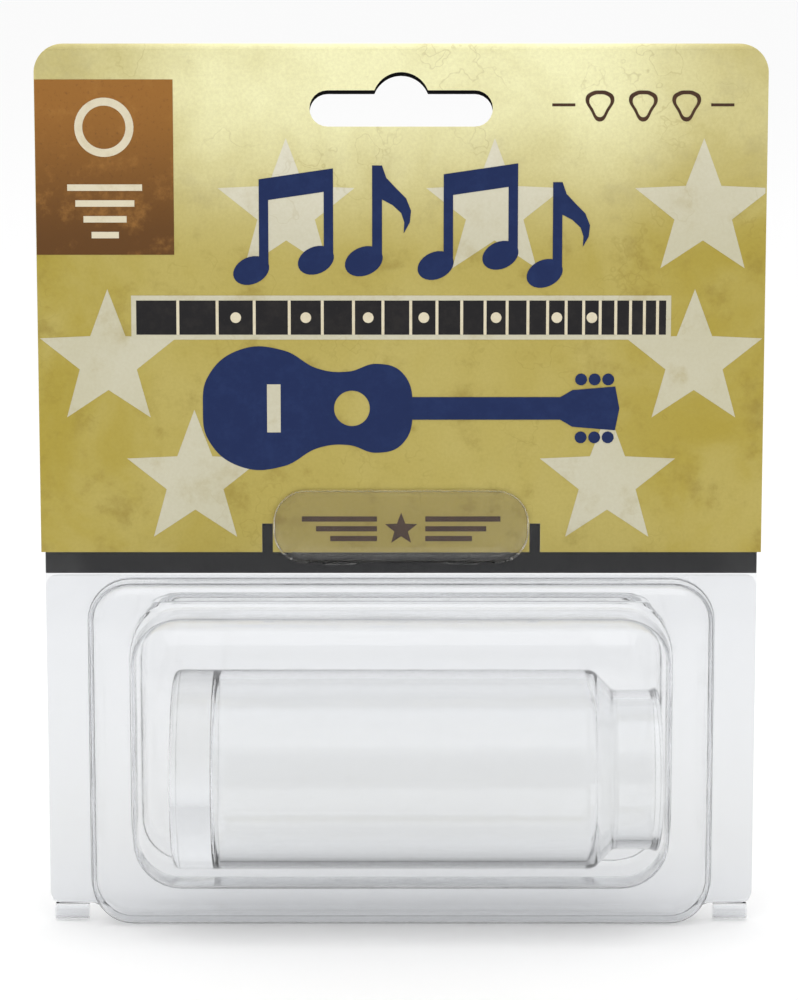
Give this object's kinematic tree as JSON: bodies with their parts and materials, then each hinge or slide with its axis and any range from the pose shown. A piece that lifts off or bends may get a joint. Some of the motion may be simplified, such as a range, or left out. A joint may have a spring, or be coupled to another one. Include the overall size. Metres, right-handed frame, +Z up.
{
  "type": "glass bottle guitar slide in a hanging clamshell pack",
  "caption": "Clear bottle-shaped glass guitar slide in a hinged clamshell, hung from a folded card header with a locking tongue.",
  "frame": {"origin": "middle of the pack's foot, on the plane where the two clamshell halves meet", "axes": "+X to the right seen from the front, the printed front faces -Y, +Z up to the card's fold"},
  "size_m": [0.1016, 0.0301, 0.125],
  "materials": {
    "clear_sheet": "clear, glossy thermoformed sheet",
    "printed_card": "printed coated board, satin",
    "slide_glass": "clear, fire-polished"
  },
  "bodies": {
    "front_shell": {"front_shell": "clear_sheet", "hinge_left": "clear_sheet", "hinge_right": "clear_sheet"},
    "lock_tongue": {"lock_tongue": "clear_sheet"},
    "card": {"header_front_panel": "printed_card", "header_fold": "printed_card"},
    "rear_panel": {"header_rear_panel": "printed_card"},
    "back_shell": {"back_shell": "clear_sheet"},
    "glass_slide": {"glass_slide": "slide_glass"}
  },
  "joints": [
    {"name": "tongue_flex", "type": "hinge", "parent": "front_shell", "child": "lock_tongue", "pos_m": [0, -0.0004, 0.0522], "axis": [1, 0, 0], "range_deg": [0, 75], "stiffness_Nm_per_rad": 0.0003},
    {"name": "card_lift", "type": "slide", "parent": "front_shell", "child": "card", "axis": [0, 0, 1], "range_m": [0, 0.035]},
    {"name": "rear_panel_fold", "type": "hinge", "parent": "card", "child": "rear_panel", "pos_m": [0, -0.0002, 0.1242], "axis": [1, 0, 0], "range_deg": [0, 120], "deforming": ["header_fold"]},
    {"name": "slide_out", "type": "slide", "parent": "front_shell", "child": "glass_slide", "axis": [0, 1, 0], "range_m": [0, 0.054]},
    {"name": "back_shell_open", "type": "hinge", "parent": "front_shell", "child": "back_shell", "pos_m": [0, 0, 0], "axis": [-1, 0, 0], "range_deg": [0, 170], "deforming": ["hinge_left", "hinge_right"]}
  ],
  "couplings": [
    {"joint": "slide_out", "follows": "back_shell_open", "m_per_rad": 0.018}
  ]
}
